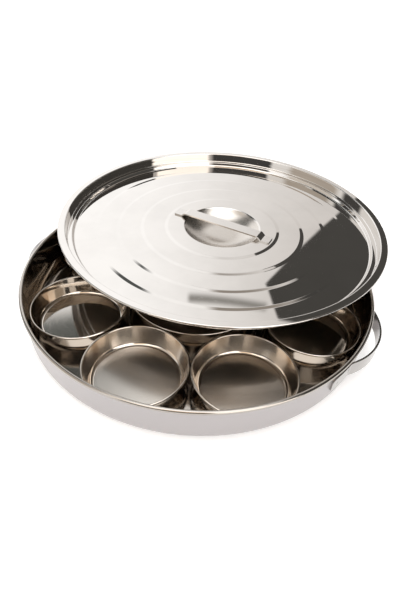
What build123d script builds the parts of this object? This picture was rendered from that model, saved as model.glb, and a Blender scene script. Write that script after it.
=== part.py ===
from build123d import *
from math import asin, cos, radians, sin
import os

os.makedirs("parts", exist_ok=True)

# Spice box: a wide shallow steel tray with two strap handles, seven small bowls round one large
# bowl, and a stepped lid with a strap over a finger dish, lying on the tray rim pushed back.
# Millimetres, +Z up, origin on the table under the centre of the tray.

# ---- tray -------------------------------------------------------------------------------------
RIM_R = 155.0            # centre circle of the rolled rim
RIM_BEAD = 1.6           # radius of the rolled rim
RIM_Z = 37.0             # height of the rim centre circle above the table
TRAY_T = 0.7             # tray sheet
TRAY_CORNER = 12.0       # outside radius between wall and base
TRAY_IN = RIM_R - RIM_BEAD
TRAY_OUT = TRAY_IN + TRAY_T

# ---- side handles -----------------------------------------------------------------------------
HANDLE_ANGLES = {"right": -24.0, "left": 166.0}
STRAP_T = 1.5            # handle strap thickness
STRAP_W = 13.0           # handle strap width, standing upright
STRAP_Z = 16.5           # lower edge of the strap
LOOP_HALF = 39.0         # half the span of the loop
LOOP_OUT = 10.6          # middle of the loop beyond the wall, to the strap centre line
FOOT_END = 24.0          # degrees from the middle of the handle to the end of a foot
BEND_R = 7.0             # bend where the loop turns into a foot
FOOT_CORNER = 4.0        # rounded corners at the end of a foot
WELD_ANGLES = (17.6, 21.6)   # spot welds, degrees from the middle of the handle
WELD_R = 1.5             # radius of the dent a spot weld leaves in the strap
WELD_DENT = 0.35         # its depth

# ---- bowls ------------------------------------------------------------------------------------
BOWL_H = 16.8            # table side of the floor to the middle of the rolled rim
BOWL_T = 0.6
BOWL_BEAD = 0.9
SMALL_R = 42.5           # outside radius over the rolled rim, small bowl
SMALL_FOOT = 36.8        # outside radius at the foot of the wall
LARGE_R = 64.2
LARGE_FOOT = 58.4
BOWL_CORNER = 4.2
REST_GAP = 0.05          # seating gap under every piece that only stands on another
RING = {                 # distance from the tray axis, direction in degrees
    1: (108.2, -114.6),
    2: (109.2, -68.3),
    3: (109.2, -20.3),
    4: (108.5, 37.0),
    5: (108.5, 94.6),
    6: (108.5, 152.0),
    7: (109.2, -161.7),
}
LARGE_AT = (-1.7, 0.3)

# ---- lid --------------------------------------------------------------------------------------
LID_AT = (21.5, 75.6)    # where the lid lies, pushed back and to the right
LID_T = 0.7
LID_R = 163.5            # outer edge of the brim
BRIM_IN = 156.4          # top of the upper wall
BRIM_Z = 12.6            # brim above the outer ring of the plate
HEM = 1.8                # turned-down edge
LEDGE_Z = 3.3
LEDGE_OUT, LEDGE_IN = 155.6, 151.0
PLATE_R = 149.8
PLATE_BEND, LEDGE_BEND, BRIM_BEND, HEM_BEND = 1.4, 0.9, 1.2, 1.0
STEP_R = (129.1, 106.5, 82.3, 57.7)
STEP_RISE = 0.3
STEP_RUN = 3.4
STEP_BEND = 10.0
DISH_R = 40.8
DISH_FLOOR = 27.0
DISH_DEPTH = 9.5
DISH_BEND = 36.0         # between dish floor and dish wall
DISH_LIP = 2.4           # rounding where the dish wall meets the plate
DISH_LEAN = 1.5          # the dish wall comes up this far inside DISH_R

# ---- lid strap --------------------------------------------------------------------------------
BAR_ANGLE = -26.5
BAR_W, BAR_T = 12.0, 1.4
BAR_HALF = 54.0
BAR_FOOT = 9.0           # flat foot at each end
BAR_RISE = 3.0
BAR_RAMP = 3.5
BAR_BEND = 2.0
BAR_CORNER = 1.2


def bent(points):
    """Wire in the XZ half plane through (r, z, bend radius) points."""
    line = Polyline(*[(r, z) for r, z, _ in points])
    wire = Wire(line.edges())
    for r, z, bend in points:
        if bend:
            corner = min(wire.vertices(), key=lambda v: (v.X - r) ** 2 + (v.Y - z) ** 2)
            wire = wire.fillet_2d(bend, [corner])
    return wire


def spun(points, thickness, side, bead=None):
    """Thin sheet of revolution, thickened to one side of its path, with an optional rolled edge."""
    band = make_face(offset(bent(points), amount=thickness, side=side))
    if bead:
        r, z, radius = bead
        band += Pos(r, z) * Circle(radius)
    return revolve(Plane.XZ * band, axis=Axis.Z)


def pan(outer_top, foot, corner, height, thickness, bead):
    """Round pan from its outside face: base, rounded corner, wall, rolled rim."""
    wall_top = outer_top - 2 * bead + thickness
    path = [(0, 0, 0), (foot, 0, corner), (wall_top, height, 0)]
    return spun(path, thickness, Side.LEFT, (outer_top - bead, height, bead))


# ---- tray pan -------------------------------------------------------------------------------------
tray = pan(RIM_R + RIM_BEAD, TRAY_OUT, TRAY_CORNER, RIM_Z, TRAY_T, RIM_BEAD)
export_step(tray, "parts/tray_pan.step")

# ---- side handles ---------------------------------------------------------------------------------
# The loop is one arc from wall to wall; each foot follows the wall. Drawn round +Y, then turned.
strap_mid_r = TRAY_OUT + STRAP_T / 2
loop_end_y = (strap_mid_r ** 2 - LOOP_HALF ** 2) ** 0.5
foot_start = asin(LOOP_HALF / strap_mid_r)
foot_end = radians(FOOT_END)


def on_wall(angle):
    return (strap_mid_r * sin(angle), strap_mid_r * cos(angle))


loop = ThreePointArc((-LOOP_HALF, loop_end_y), (0, strap_mid_r + LOOP_OUT), (LOOP_HALF, loop_end_y))
feet = [
    ThreePointArc(on_wall(sign * foot_start), on_wall(sign * (foot_start + foot_end) / 2),
                  on_wall(sign * foot_end))
    for sign in (-1, 1)
]
plan = Wire([feet[0].edge(), loop.edge(), feet[1].edge()])
for sign in (-1, 1):
    joint = min(plan.vertices(), key=lambda v: abs(v.X - sign * LOOP_HALF) + abs(v.Y - loop_end_y))
    plan = plan.fillet_2d(BEND_R, [joint])
strap_face = make_face(offset(plan, amount=STRAP_T / 2, side=Side.LEFT))
strap_face += make_face(offset(plan, amount=STRAP_T / 2, side=Side.RIGHT))
strap = Pos(0, 0, STRAP_Z) * extrude(strap_face, STRAP_W)
strap -= Cylinder(TRAY_OUT, 3 * RIM_Z)
foot_ends = strap.edges().filter_by(lambda edge: abs(edge.length - STRAP_T) < STRAP_T / 10)
strap = fillet(foot_ends, FOOT_CORNER)
# Each spot weld leaves a shallow round dent, the cap of a ball pressed into the outer face.
ball_r = (WELD_R ** 2 + WELD_DENT ** 2) / (2 * WELD_DENT)
ball_y = TRAY_OUT + STRAP_T + ball_r - WELD_DENT
for angle in WELD_ANGLES:
    for sign in (-1, 1):
        strap -= Rot(0, 0, sign * angle) * Pos(0, ball_y, STRAP_Z + STRAP_W / 2) * Sphere(ball_r)
for side, middle in HANDLE_ANGLES.items():
    export_step(Rot(0, 0, middle - 90) * strap, f"parts/side_handle_{side}.step")

# ---- bowls ----------------------------------------------------------------------------------------
floor_z = TRAY_T + REST_GAP
small_bowl = pan(SMALL_R, SMALL_FOOT, BOWL_CORNER, BOWL_H, BOWL_T, BOWL_BEAD)
large_bowl = pan(LARGE_R, LARGE_FOOT, BOWL_CORNER, BOWL_H, BOWL_T, BOWL_BEAD)
for number, (away, angle) in RING.items():
    x, y = away * cos(radians(angle)), away * sin(radians(angle))
    export_step(Pos(x, y, floor_z) * small_bowl, f"parts/small_bowl_{number}.step")
export_step(Pos(*LARGE_AT, floor_z) * large_bowl, "parts/large_bowl.step")

# ---- lid pan --------------------------------------------------------------------------------------
# Heights count from the upper face of the outer ring of the plate; the plate steps up inwards.
top = STEP_RISE * len(STEP_R)
face = [(0, top - DISH_DEPTH, 0), (DISH_FLOOR, top - DISH_DEPTH, DISH_BEND),
        (DISH_R - DISH_LEAN, top, DISH_LIP)]
for count, r in enumerate(reversed(STEP_R)):
    z = top - count * STEP_RISE
    face += [(r - STEP_RUN / 2, z, STEP_BEND), (r + STEP_RUN / 2, z - STEP_RISE, STEP_BEND)]
face += [(PLATE_R, 0, PLATE_BEND), (LEDGE_IN, LEDGE_Z, LEDGE_BEND),
         (LEDGE_OUT, LEDGE_Z, LEDGE_BEND), (BRIM_IN, BRIM_Z, BRIM_BEND),
         (LID_R, BRIM_Z, HEM_BEND), (LID_R, BRIM_Z - HEM, 0)]
plate_z = RIM_Z + RIM_BEAD + REST_GAP + LID_T
lid_place = Pos(*LID_AT, plate_z)
export_step(lid_place * spun(face, LID_T, Side.RIGHT), "parts/lid_pan.step")

# ---- lid strap ------------------------------------------------------------------------------------
half = [(BAR_HALF, top, 0), (BAR_HALF - BAR_FOOT, top, BAR_BEND),
        (BAR_HALF - BAR_FOOT - BAR_RAMP, top + BAR_RISE, BAR_BEND)]
side_view = bent([(-r, z, bend) for r, z, bend in half] + list(reversed(half)))
bar = extrude(Plane.XZ * make_face(offset(side_view, amount=BAR_T, side=Side.LEFT)), BAR_W / 2, both=True)
bar = fillet(bar.edges().filter_by(Axis.Z).group_by(SortBy.LENGTH)[-1], BAR_CORNER)
export_step(lid_place * Rot(0, 0, BAR_ANGLE) * bar, "parts/lid_strap.step")
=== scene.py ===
import math

import bpy
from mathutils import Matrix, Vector


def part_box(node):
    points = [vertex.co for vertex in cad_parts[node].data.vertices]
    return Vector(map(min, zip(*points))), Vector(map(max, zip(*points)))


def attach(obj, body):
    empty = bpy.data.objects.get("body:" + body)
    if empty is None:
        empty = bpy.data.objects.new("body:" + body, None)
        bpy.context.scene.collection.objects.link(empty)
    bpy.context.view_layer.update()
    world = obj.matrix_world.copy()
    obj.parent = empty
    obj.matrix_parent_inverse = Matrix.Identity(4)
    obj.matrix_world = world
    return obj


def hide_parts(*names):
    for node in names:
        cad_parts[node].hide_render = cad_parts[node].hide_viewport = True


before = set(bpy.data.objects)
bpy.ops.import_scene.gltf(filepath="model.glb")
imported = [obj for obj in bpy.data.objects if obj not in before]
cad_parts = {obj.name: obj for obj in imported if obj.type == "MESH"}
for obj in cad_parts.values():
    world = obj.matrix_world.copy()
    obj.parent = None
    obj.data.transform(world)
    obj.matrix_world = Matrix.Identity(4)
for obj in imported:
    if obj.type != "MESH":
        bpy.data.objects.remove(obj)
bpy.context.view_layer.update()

MM = 0.001
PHOTO_HEIGHT = 601


def middle(node):
    """Centre of a CAD node's box, which for a round node lies on its axis."""
    low, high = (Vector(corner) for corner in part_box(node))
    return (low + high) / 2


# ---------------------------------------------------------------------------------------------
# Spun sheet. The reflections need exact normals, so every round piece is turned from its section
# with a normal at each point; profiles are (radius, height, bend radius) in millimetres.
# ---------------------------------------------------------------------------------------------
TRAY_TURNS, BOWL_TURNS = 360, 240
BEND_STEP = 6.0          # degrees of bend between rings
TRAY = {"outer": 156.6, "foot": 154.1, "corner": 12.0, "height": 37.0, "sheet": 0.7, "bead": 1.6}
SMALL = {"outer": 42.5, "foot": 36.8, "corner": 4.2, "height": 16.8, "sheet": 0.6, "bead": 0.9}
LARGE = {"outer": 64.2, "foot": 58.4, "corner": 4.2, "height": 16.8, "sheet": 0.6, "bead": 0.9}
LID_SHEET = 0.7
LID_STEPS = (57.7, 82.3, 106.5, 129.1)
STEP_RISE, STEP_RUN, STEP_BEND = 0.3, 3.4, 10.0
LID_TOP = STEP_RISE * len(LID_STEPS)
DISH_DEPTH, DISH_FLOOR, DISH_BEND = 9.5, 27.0, 36.0
DISH_LIP_AT, DISH_LIP = 39.3, 2.4
# The lid outside its steps, from the edge of the plate to the turned-down edge: r, z, bend radius.
LID_BRIM = ((149.8, 0, 1.4), (151.0, 3.3, 0.9), (155.6, 3.3, 0.9), (156.4, 12.6, 1.2), (163.5, 12.6, 1.0))
LID_EDGE_Z = 10.8
EDGE_STEPS = 6           # points round the turned-down edge, less one
SAME_POINT = 1e-5        # millimetres


def bent_path(points):
    """Points (r, z, nr, nz) along straight runs joined by tangent arcs; normals on the left."""
    path = []

    def straight(start, end):
        way = (Vector(end) - Vector(start)).normalized()
        path.append((*start, -way.y, way.x))
        path.append((*end, -way.y, way.x))

    here = points[0][:2]
    for before, point, after in zip(points, points[1:], points[2:]):
        corner = Vector(point[:2])
        to_before = (Vector(before[:2]) - corner).normalized()
        to_after = (Vector(after[:2]) - corner).normalized()
        bend, half = point[2], to_before.angle(to_after) / 2
        tangent = bend / math.tan(half)
        start, end = corner + to_before * tangent, corner + to_after * tangent
        centre = corner + (to_before + to_after).normalized() * (bend / math.sin(half))
        straight(here, tuple(start))
        first, last = start - centre, end - centre
        angle = math.atan2(first.y, first.x)
        turn = (math.atan2(last.y, last.x) - angle + math.pi) % (2 * math.pi) - math.pi
        steps = max(2, round(abs(math.degrees(turn)) / BEND_STEP))
        side = -1 if turn > 0 else 1
        for i in range(1, steps):
            a = angle + turn * i / steps
            path.append((centre.x + bend * math.cos(a), centre.y + bend * math.sin(a),
                         side * math.cos(a), side * math.sin(a)))
        here = tuple(end)
    straight(here, points[-1][:2])
    return path


def flipped(path):
    return [(r, z, -nr, -nz) for r, z, nr, nz in path]


def raised(path, thickness):
    """The same path moved along its normals."""
    return [(r + nr * thickness, z + nz * thickness, nr, nz) for r, z, nr, nz in path]


def where_line_meets(start, end, centre, radius):
    """First point from start towards end on a circle."""
    start, way = Vector(start), Vector(end) - Vector(start)
    off = start - Vector(centre)
    a, b, c = way.dot(way), way.dot(off), off.dot(off) - radius ** 2
    gap = b * b - a * c
    if gap <= 0:
        return tuple(start + way * (-b / a))
    return tuple(start + way * ((-b - math.sqrt(gap)) / a))


def pan_section(outer, foot, corner, height, sheet, bead):
    """Closed section of a pan: outside face, rolled rim, inside face."""
    centre = (outer - bead, height)
    outside = bent_path([(0, 0, 0), (foot, 0, corner), (outer - 2 * bead + sheet, height, 0)])
    inside = raised(outside, sheet)
    ends = []
    for path in (outside, inside):
        r, z = where_line_meets(path[-2][:2], path[-1][:2], centre, bead)
        path[-1] = (r, z, *path[-1][2:])
        ends.append(math.atan2(z - height, r - centre[0]))
    first, last = ends
    sweep = (last - first) % (2 * math.pi)
    steps = round(math.degrees(sweep) / (2 * BEND_STEP))
    rim = []
    for i in range(steps + 1):
        a = first + sweep * i / steps
        rim.append((centre[0] + bead * math.cos(a), height + bead * math.sin(a), math.cos(a), math.sin(a)))
    return flipped(outside) + rim + list(reversed(inside))


def lid_section():
    """Closed section of the lid: dish, stepped plate, ledge, brim and turned-down edge."""
    face = [(0, LID_TOP - DISH_DEPTH, 0), (DISH_FLOOR, LID_TOP - DISH_DEPTH, DISH_BEND),
            (DISH_LIP_AT, LID_TOP, DISH_LIP)]
    for count, r in enumerate(LID_STEPS):
        z = LID_TOP - count * STEP_RISE
        face += [(r - STEP_RUN / 2, z, STEP_BEND), (r + STEP_RUN / 2, z - STEP_RISE, STEP_BEND)]
    face += [*LID_BRIM, (LID_BRIM[-1][0], LID_EDGE_Z + LID_SHEET / 2, 0)]
    upper = bent_path(face)
    lower = raised(upper, -LID_SHEET)
    r, z = upper[-1][0] - LID_SHEET / 2, upper[-1][1]
    edge = []
    for i in range(1, EDGE_STEPS):
        a = -math.pi * i / EDGE_STEPS
        edge.append((r + LID_SHEET / 2 * math.cos(a), z + LID_SHEET / 2 * math.sin(a),
                     math.cos(a), math.sin(a)))
    return upper + edge + flipped(reversed(lower))


def turned(name, section, centre, turns):
    """Closed surface of revolution round a vertical axis, with the section's own normals."""
    cx, cy, cz = centre
    circle = [(math.cos(2 * math.pi * k / turns), math.sin(2 * math.pi * k / turns)) for k in range(turns)]
    verts, faces, normals, rows = [], [], [], []
    last = None
    for r, z, _, _ in section:
        if last and math.dist(last, (r, z)) < SAME_POINT:
            rows.append(rows[-1])
            continue
        last = (r, z)
        if r < SAME_POINT:
            rows.append([len(verts)])
            verts.append((cx, cy, cz + z * MM))
            continue
        rows.append(list(range(len(verts), len(verts) + turns)))
        verts += [(cx + r * MM * c, cy + r * MM * s, cz + z * MM) for c, s in circle]
    for near, far, (ra, za, nra, nza), (rb, zb, nrb, nzb) in zip(rows, rows[1:], section, section[1:]):
        if near is far:
            continue
        outward = (zb - za) * (nra + nrb) - (rb - ra) * (nza + nzb) > 0
        for k in range(turns):
            j = (k + 1) % turns
            corners = []
            for row, i, nr, nz in ((near, k, nra, nza), (near, j, nra, nza),
                                   (far, j, nrb, nzb), (far, k, nrb, nzb)):
                if len(row) == 1 and i == j:
                    continue
                vertex = row[0] if len(row) == 1 else row[i]
                corners.append((vertex, (nr * circle[i][0], nr * circle[i][1], nz)))
            if not outward:
                corners.reverse()
            faces.append([vertex for vertex, _ in corners])
            normals += [Vector(normal).normalized() for _, normal in corners]
    mesh = bpy.data.meshes.new(name)
    mesh.from_pydata(verts, [], faces)
    mesh.shade_smooth()
    mesh.normals_split_custom_set(normals)
    obj = bpy.data.objects.new(name, mesh)
    bpy.context.collection.objects.link(obj)
    return obj


# ---------------------------------------------------------------------------------------------
# Node graphs
# ---------------------------------------------------------------------------------------------
class Graph:
    """Short calls for building a shader: every call returns the new node's output."""

    def __init__(self, tree):
        self.tree = tree

    def link(self, value, socket):
        if isinstance(value, bpy.types.NodeSocket):
            self.tree.links.new(value, socket)
        else:
            socket.default_value = value

    def node(self, kind, output=0, inputs=None, **settings):
        made = self.tree.nodes.new("ShaderNode" + kind)
        for key, value in settings.items():
            setattr(made, key, value)
        for key, value in (inputs or {}).items():
            self.link(value, made.inputs[key])
        return made.outputs[output]

    def math(self, operation, a, b=0.0, clamp=False):
        return self.node("Math", operation=operation, use_clamp=clamp, inputs={0: a, 1: b})

    def scaled(self, value, scale, offset=0.0):
        return self.node("Math", operation="MULTIPLY_ADD", inputs={0: value, 1: scale, 2: offset})

    def vector(self, operation, a, b, output=0):
        return self.node("VectorMath", output, operation=operation, inputs={0: a, 1: b})

    def smooth(self, value, low, high, start=0.0, end=1.0):
        """Smooth step from start to end as value goes from low to high."""
        return self.node("MapRange", interpolation_type="SMOOTHSTEP",
                         inputs={0: value, 1: low, 2: high, 3: start, 4: end})

    def mix(self, factor, a, b):
        return self.node("Mix", 2, data_type="RGBA", inputs={0: factor, 6: a, 7: b})

    def noise(self, vector, scale, detail=2.0, roughness=0.5):
        return self.node("TexNoise", inputs={"Vector": vector, "Scale": scale, "Detail": detail,
                                             "Roughness": roughness})


# ---------------------------------------------------------------------------------------------
# Steel
# ---------------------------------------------------------------------------------------------
RADIAN = 0.02            # metres that stand for one radian in the polar coordinates
LINES_SCALE, LINES_STRETCH = 1400.0, (1.0, 0.12, 1.0)
CLOUD_SCALE, SMUDGE_FROM, SMUDGE_TO, SMUDGE_TONE = 24.0, 0.35, 0.7, 0.95
HAIR_SCALE, HAIR_STRETCH, HAIR_ANGLE = 160.0, (1.0, 14.0, 1.0), 0.7
HAIR_FROM, HAIR_TO, HAIR_ROUGH = 0.66, 0.74, 0.06
SWELL_SCALE, TRAY_SWELL_SCALE = 17.0, 15.0
LINE_STRENGTH, LINE_DEPTH = 0.35, 0.0016     # depths in millimetres
TRAY_LINE_STRENGTH, TRAY_LINE_DEPTH = 0.2, 0.001
UNDER_FROM, UNDER_TO = -0.6, -0.4            # height part of the normal of a face that looks down
PATCH_EDGE = 2.0                             # millimetres over which a patch fades out
PATCH_LINES = 0.10
DRAWN_SCALE, DRAWN_STRETCH, DRAWN_STRENGTH, DRAWN_DEPTH = 1800.0, (0.02, 1.0, 1.0), 0.4, 0.006
DRAWN_ROUGH, DRAWN_CLOUD_SCALE, DRAWN_CLOUD_ROUGH, DRAWN_TONE = 0.10, 40.0, 0.06, 0.9
STEEL = (0.640, 0.612, 0.580, 1)
STEEL_WARM = (0.640, 0.583, 0.520, 1)
# Painted shade: darker tone for the lid's faces that look down.
UNDERSIDE_SHADE = (0.600, 0.560, 0.515, 1)
# Painted shade: darker tone in the hollow of the lid's dish.
DISH_SHADE = (0.560, 0.520, 0.475, 1)
# Painted light: lighter tone on the small bowls' floors, standing in for the bright reflection there.
BOWL_FLOOR_LIGHT = (0.660, 0.618, 0.568, 1)
# Painted shade: darker tone on the tray's polished inside and rolled rim, under the lid.
TRAY_INSIDE_SHADE = (0.430, 0.398, 0.362, 1)
STRAP = (0.450, 0.435, 0.420, 1)
SATIN = (0.450, 0.428, 0.430, 1)


def new_material(name):
    material = bpy.data.materials.new(name)
    material.use_nodes = True
    graph = Graph(material.node_tree)
    shader = material.node_tree.nodes["Principled BSDF"]
    shader.inputs["Metallic"].default_value = 1.0
    return material, graph, shader


def turned_coordinates(graph, centre):
    """Position from a piece's own axis: as a vector, as a distance, and as distance, turn, height."""
    place = graph.node("TexCoord", 3)
    local = graph.vector("SUBTRACT", place, tuple(centre))
    xyz = graph.node("SeparateXYZ", inputs={0: local}, output=0).node
    x, y, z = xyz.outputs
    squares = [graph.math("MULTIPLY", part, part) for part in (x, y)]
    away = graph.math("SQRT", graph.math("ADD", *squares))
    turn = graph.math("ARCTAN2", y, x)
    polar = graph.node("CombineXYZ", inputs={0: away, 1: graph.scaled(turn, RADIAN), 2: z})
    return local, away, polar


def sheen_of_use(graph, local, polar, seed):
    """Fine polishing lines round the axis, hair scratches, and soft smudges, each from 0 to 1."""
    shifted = graph.vector("ADD", local, (seed * 0.37, seed * 0.11, seed * 0.23))
    lines = graph.noise(graph.vector("MULTIPLY", polar, LINES_STRETCH), LINES_SCALE, 3.0, 0.6)
    cloud = graph.noise(shifted, CLOUD_SCALE, 3.0, 0.55)
    stretched = graph.vector("MULTIPLY", shifted, HAIR_STRETCH)
    rotated = graph.node("VectorRotate", rotation_type="Z_AXIS",
                         inputs={"Vector": stretched, "Angle": HAIR_ANGLE + seed})
    hair = graph.smooth(graph.noise(rotated, HAIR_SCALE, 2.0, 0.5), HAIR_FROM, HAIR_TO)
    return lines, cloud, hair


def polished(name, centre, seed, colour, rough, wave, under=None, patch=None):
    """Bright spun sheet: nearly a mirror, a little wavy, with polishing lines and hair scratches.

    A face that looks down may have a rougher finish of its own, under; such a face is then also painted a
    darker tone, as painted shade. So may the middle of the piece, on both sides: patch is its radius,
    roughness and colour; that colour is painted shade in the lid's dish and painted light on the bowls'
    floors.
    """
    material, graph, shader = new_material(name)
    local, away, polar = turned_coordinates(graph, centre)
    lines, cloud, hair = sheen_of_use(graph, local, polar, seed)
    smudged = tuple(SMUDGE_TONE * c for c in colour[:3]) + (1,)
    tone = graph.mix(graph.smooth(cloud, SMUDGE_FROM, SMUDGE_TO), colour, smudged)
    roughness = graph.scaled(cloud, 0.6 * rough, 0.5 * rough)
    roughness = graph.math("ADD", roughness, graph.scaled(hair, HAIR_ROUGH))
    roughness = graph.math("ADD", roughness, graph.scaled(lines, 0.3 * rough))
    if under:
        facing = graph.node("SeparateXYZ", 2, inputs={0: graph.node("TexCoord", 1)})
        beneath_rough_and_shade = graph.smooth(facing, UNDER_FROM, UNDER_TO, 1.0, 0.0)
        roughness = graph.node("Mix", 0, data_type="FLOAT", inputs={0: beneath_rough_and_shade, 2: roughness, 3: under})
        # Faces that look down get a rougher finish and a darker tone, which is painted shade.
        tone = graph.mix(beneath_rough_and_shade, tone, UNDERSIDE_SHADE)
    if patch:
        radius, patch_rough, patch_painted_tone = patch
        inside = graph.smooth(away, radius - PATCH_EDGE * MM, radius, 1.0, 0.0)
        patch_roughness = graph.scaled(lines, PATCH_LINES, patch_rough - PATCH_LINES / 2)
        roughness = graph.node("Mix", 0, data_type="FLOAT",
                               inputs={0: inside, 2: roughness, 3: patch_roughness})
        # The middle is painted a tone of its own: painted shade in the lid's dish, painted light on the
        # bowls' floors.
        tone = graph.mix(inside, tone, patch_painted_tone)
    swell = graph.noise(graph.vector("ADD", local, (seed * 0.2, 0.3, 0.1)), SWELL_SCALE, 1.0, 0.4)
    bump = graph.node("Bump", inputs={"Strength": 1.0, "Distance": wave * MM, "Height": swell})
    fine = graph.node("Bump", inputs={"Strength": LINE_STRENGTH, "Distance": LINE_DEPTH * MM,
                                      "Height": lines, "Normal": bump})
    graph.link(tone, shader.inputs["Base Color"])
    graph.link(roughness, shader.inputs["Roughness"])
    graph.link(fine, shader.inputs["Normal"])
    return material


def brushed(name, colour, along, rough, seed):
    """Satin strip with drawing lines along one direction."""
    material, graph, shader = new_material(name)
    place = graph.node("TexCoord", 3)
    rotated = graph.node("VectorRotate", rotation_type="Z_AXIS", inputs={"Vector": place, "Angle": -along})
    drawn = graph.vector("MULTIPLY", rotated, DRAWN_STRETCH)
    lines = graph.noise(drawn, DRAWN_SCALE, 3.0, 0.6)
    cloud = graph.noise(graph.vector("ADD", place, (seed, 0.0, seed)), DRAWN_CLOUD_SCALE, 2.0)
    roughness = graph.math("ADD", graph.scaled(lines, DRAWN_ROUGH, rough - DRAWN_ROUGH / 2),
                           graph.scaled(cloud, DRAWN_CLOUD_ROUGH, -DRAWN_CLOUD_ROUGH / 2))
    bump = graph.node("Bump", inputs={"Strength": DRAWN_STRENGTH, "Distance": DRAWN_DEPTH * MM,
                                      "Height": lines})
    tone = graph.mix(lines, colour, tuple(DRAWN_TONE * c for c in colour[:3]) + (1,))
    graph.link(tone, shader.inputs["Base Color"])
    graph.link(roughness, shader.inputs["Roughness"])
    graph.link(bump, shader.inputs["Normal"])
    return material


TRAY_WAVE = 0.22         # millimetres, slow waves in the sheet
BEAD_FROM, BEAD_TO = 3.4, 2.8    # below the top of the tray, where satin gives way to the rim


def tray_steel():
    """Tray: polished inside and on the rolled rim, painted a darker tone as painted shade under the lid;
    satin round the outside of the wall.
    """
    centre = middle("tray_pan")
    material, graph, shader = new_material("tray_steel")
    local, away, polar = turned_coordinates(graph, centre)
    lines, cloud, _ = sheen_of_use(graph, local, polar, 3)
    _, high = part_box("tray_pan")
    height = graph.node("SeparateXYZ", 2, inputs={0: graph.node("TexCoord", 3)})
    outward = graph.vector("DOT_PRODUCT", graph.node("TexCoord", 1), local, 1)
    faces_out = graph.math("DIVIDE", outward, away)
    outside = graph.math("MULTIPLY", graph.smooth(faces_out, 0.1, 0.3),
                         graph.smooth(height, high[2] - BEAD_FROM * MM, high[2] - BEAD_TO * MM, 1.0, 0.0))
    inside_rough = graph.scaled(cloud, 0.10, 0.07)
    outside_rough = graph.math("ADD", graph.scaled(cloud, 0.10, 0.24), graph.scaled(lines, 0.04))
    roughness = graph.node("Mix", 0, data_type="FLOAT",
                           inputs={0: outside, 2: inside_rough, 3: outside_rough})
    # The polished inside and rim are painted darker: painted shade under the lid.
    tone = graph.mix(outside, TRAY_INSIDE_SHADE, SATIN)
    swell = graph.noise(local, TRAY_SWELL_SCALE, 1.0, 0.4)
    bump = graph.node("Bump", inputs={"Strength": 1.0, "Distance": TRAY_WAVE * MM, "Height": swell})
    fine = graph.node("Bump", inputs={"Strength": TRAY_LINE_STRENGTH, "Distance": TRAY_LINE_DEPTH * MM,
                                      "Height": lines, "Normal": bump})
    graph.link(tone, shader.inputs["Base Color"])
    graph.link(roughness, shader.inputs["Roughness"])
    graph.link(fine, shader.inputs["Normal"])
    return material


# ---------------------------------------------------------------------------------------------
# Pieces
# ---------------------------------------------------------------------------------------------
def spun_piece(node, body, section, zero, turns, material):
    """Turned piece in place of a round CAD node; zero is the height of the node's lowest point."""
    low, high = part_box(node)
    centre = ((low[0] + high[0]) / 2, (low[1] + high[1]) / 2, low[2] - zero * MM)
    piece = turned(node + "_spun", section, centre, turns)
    piece.data.materials.append(material)
    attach(piece, body)
    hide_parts(node)


def put_on(node, material):
    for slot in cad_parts[node].material_slots:
        slot.material = material


LID_ROUGH, LID_WAVE, UNDER_ROUGH = 0.022, 0.06, 0.42
# The dish: rougher, and painted darker as painted shade.
DISH_PATCH = (39.5 * MM, 0.26, DISH_SHADE)
BOWL_PATCH_R = 34.5 * MM
BOWL_WAVE = 0.10
BOWL_WALL_ROUGHNESS = (0.13, 0.12, 0.07, 0.09, 0.10, 0.08, 0.06)
BOWL_FLOOR_ROUGHNESS = (0.24, 0.20, 0.09, 0.11, 0.12, 0.10, 0.08)
spun_piece("tray_pan", "tray", pan_section(**TRAY), 0.0, TRAY_TURNS, tray_steel())
lid_low = LID_TOP - DISH_DEPTH - LID_SHEET
# The lid's faces that look down are painted darker: painted shade.
spun_piece("lid_pan", "lid", lid_section(), lid_low, TRAY_TURNS,
           polished("lid_steel", middle("lid_pan"), 1, STEEL, LID_ROUGH, LID_WAVE, UNDER_ROUGH,
                    DISH_PATCH))
# Each small bowl's floor is rougher and painted lighter: painted light.
for number in range(1, 8):
    bowl = f"small_bowl_{number}"
    spun_piece(bowl, bowl + "_body", pan_section(**SMALL), 0.0, BOWL_TURNS,
               polished(f"bowl_steel_{number}", middle(bowl), 10 + number, STEEL_WARM,
                        BOWL_WALL_ROUGHNESS[number - 1], BOWL_WAVE,
                        patch=(BOWL_PATCH_R, BOWL_FLOOR_ROUGHNESS[number - 1], BOWL_FLOOR_LIGHT)))
spun_piece("large_bowl", "large_bowl_body", pan_section(**LARGE), 0.0, BOWL_TURNS,
           polished("bowl_steel_large", middle("large_bowl"), 20, STEEL_WARM, 0.13, 0.12))
put_on("lid_strap", brushed("lid_strap_steel", STEEL, math.radians(-26.5), 0.12, 1))
strap = brushed("side_strap_steel", STRAP, 0.0, 0.16, 2)
put_on("side_handle_right", strap)
put_on("side_handle_left", strap)


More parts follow.
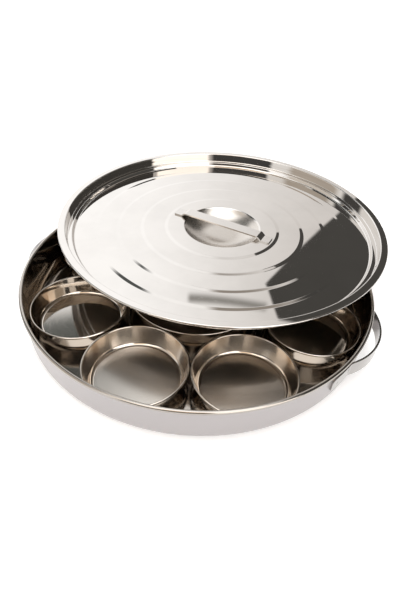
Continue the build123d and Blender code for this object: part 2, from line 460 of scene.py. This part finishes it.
# ---------------------------------------------------------------------------------------------
# Studio: a white tent with dark gaps, and a pale floor
# ---------------------------------------------------------------------------------------------
# Directions are in degrees: bearing from +Y towards +X, and height above the horizon.
# (bearing of the middle, half width, lowest, highest, lean of the side edges, softness, brightness)
PANELS = [
    ("back right flag", 62.5, 51.9, 2, 41.5, 0.78, 0.3, (0.088, 0.085, 0.080)),
    ("upper right flag", 72, 50, 40, 64, 0.0, 2.0, (0.080, 0.078, 0.074)),
    ("upper back flag", 26, 24, 46, 62, 0.0, 2.5, (0.42, 0.38, 0.34)),
    ("upper left flag", -37, 22.5, 40.8, 66, 0.0, 1.5, (0.125, 0.135, 0.130)),
    ("thin batten", 5, 6.5, 39.8, 40.8, 0.0, 0.5, (0.40, 0.39, 0.37)),
    ("left gap", -64, 11, 0, 60, 0.0, 3.0, (0.12, 0.12, 0.12)),
    ("front gap", -166, 24, 0, 36, 0.0, 2.0, (0.10, 0.10, 0.10)),
    ("warm front wall", -170, 38, 37, 66, 0.0, 3.0, (1.35, 1.05, 0.78)),
    ("front left softbox", -143, 19, 38, 62, 0.0, 2.0, (2.4, 2.2, 2.0)),
    ("left front wall", -104, 22, 0, 70, 0.0, 4.0, (0.85, 0.78, 0.70)),
    ("key softbox", 144, 23, 5, 65, 0.0, 1.5, (2.6, 2.5, 2.4)),
]
LEAN_FROM, LEAN_AT = 10.0, 37.5
BACK = -4                # bearing of the middle of the back wall
BACK_FROM, BACK_TO = -12, 26
BACK_LEFT, BACK_RIGHT = (1.52, 1.53, 1.55, 1), (0.93, 0.90, 0.88, 1)
HIGH, HIGH_FROM, HIGH_TO = (1.45, 1.45, 1.45, 1), 44, 58
TOP, TOP_FROM, TOP_TO = (2.60, 2.62, 2.66, 1), 62, 72


def studio():
    world = bpy.data.worlds.new("studio")
    bpy.context.scene.world = world
    world.use_nodes = True
    graph = Graph(world.node_tree)
    background = world.node_tree.nodes["Background"]
    way = graph.node("TexCoord", 0)
    up = graph.node("SeparateXYZ", 2, inputs={0: way})
    rise = graph.math("DEGREES", graph.math("ARCSINE", up))

    def bearing(centre):
        a = math.radians(centre)
        side = graph.vector("DOT_PRODUCT", way, (math.cos(a), -math.sin(a), 0), 1)
        ahead = graph.vector("DOT_PRODUCT", way, (math.sin(a), math.cos(a), 0), 1)
        return graph.math("DEGREES", graph.math("ARCTAN2", side, ahead))

    wall = graph.mix(graph.smooth(bearing(BACK), BACK_FROM, BACK_TO), BACK_LEFT, BACK_RIGHT)
    ceiling = graph.mix(graph.smooth(rise, HIGH_FROM, HIGH_TO), wall, HIGH)
    light = graph.mix(graph.smooth(rise, TOP_FROM, TOP_TO), ceiling, TOP)
    for _, centre, half, lowest, highest, lean, soft, colour in PANELS:
        turn = bearing(centre)
        if lean:
            off = graph.math("SUBTRACT", graph.math("MAXIMUM", rise, LEAN_FROM), LEAN_AT)
            turn = graph.math("SUBTRACT", turn, graph.scaled(graph.math("ABSOLUTE", off), lean))
        width = graph.math("ABSOLUTE", turn)
        across = graph.smooth(width, half - soft, half + soft, 1.0, 0.0)
        over = graph.smooth(rise, lowest - soft, lowest + soft)
        under = graph.smooth(rise, highest - soft, highest + soft, 1.0, 0.0)
        mask = graph.math("MULTIPLY", across, graph.math("MULTIPLY", over, under))
        light = graph.mix(mask, light, (*colour, 1))
    seen = graph.node("LightPath", 0)
    light = graph.mix(seen, light, (1, 1, 1, 1))
    graph.link(light, background.inputs["Color"])


FLOOR_HALF = 4.0         # metres
FLOOR_COLOUR, FLOOR_GLOW = (0.88, 0.89, 0.90, 1), 0.32
BOUNCES = 24             # light goes back and forth between bowls, tray and lid


def floor():
    size = FLOOR_HALF
    mesh = bpy.data.meshes.new("floor")
    mesh.from_pydata([(-size, -size, 0), (size, -size, 0), (size, size, 0), (-size, size, 0)],
                     [], [(0, 1, 2, 3)])
    obj = bpy.data.objects.new("floor", mesh)
    bpy.context.collection.objects.link(obj)
    material = bpy.data.materials.new("floor_white")
    material.use_nodes = True
    shader = material.node_tree.nodes["Principled BSDF"]
    shader.inputs["Base Color"].default_value = FLOOR_COLOUR
    shader.inputs["Roughness"].default_value = 0.9
    shader.inputs["Emission Color"].default_value = (1, 1, 1, 1)
    shader.inputs["Emission Strength"].default_value = FLOOR_GLOW
    mesh.materials.append(material)


SENSOR, FOCAL_PIXELS = 36.0, 455.0
CAMERA_AT = (0.0, -0.33471, 0.28776)
CAMERA_TURN = (49.437, -2.790, 1.816)    # degrees about X, Y and Z


def camera():
    data = bpy.data.cameras.new("camera")
    obj = bpy.data.objects.new("camera", data)
    bpy.context.collection.objects.link(obj)
    obj.location = CAMERA_AT
    obj.rotation_euler = [math.radians(angle) for angle in CAMERA_TURN]
    data.sensor_fit = "VERTICAL"
    data.sensor_height = SENSOR
    data.lens = FOCAL_PIXELS * SENSOR / PHOTO_HEIGHT
    bpy.context.scene.camera = obj


studio()
floor()
camera()
bpy.context.scene.view_settings.view_transform = "Standard"
bpy.context.scene.cycles.max_bounces = BOUNCES
bpy.context.scene.cycles.glossy_bounces = BOUNCES
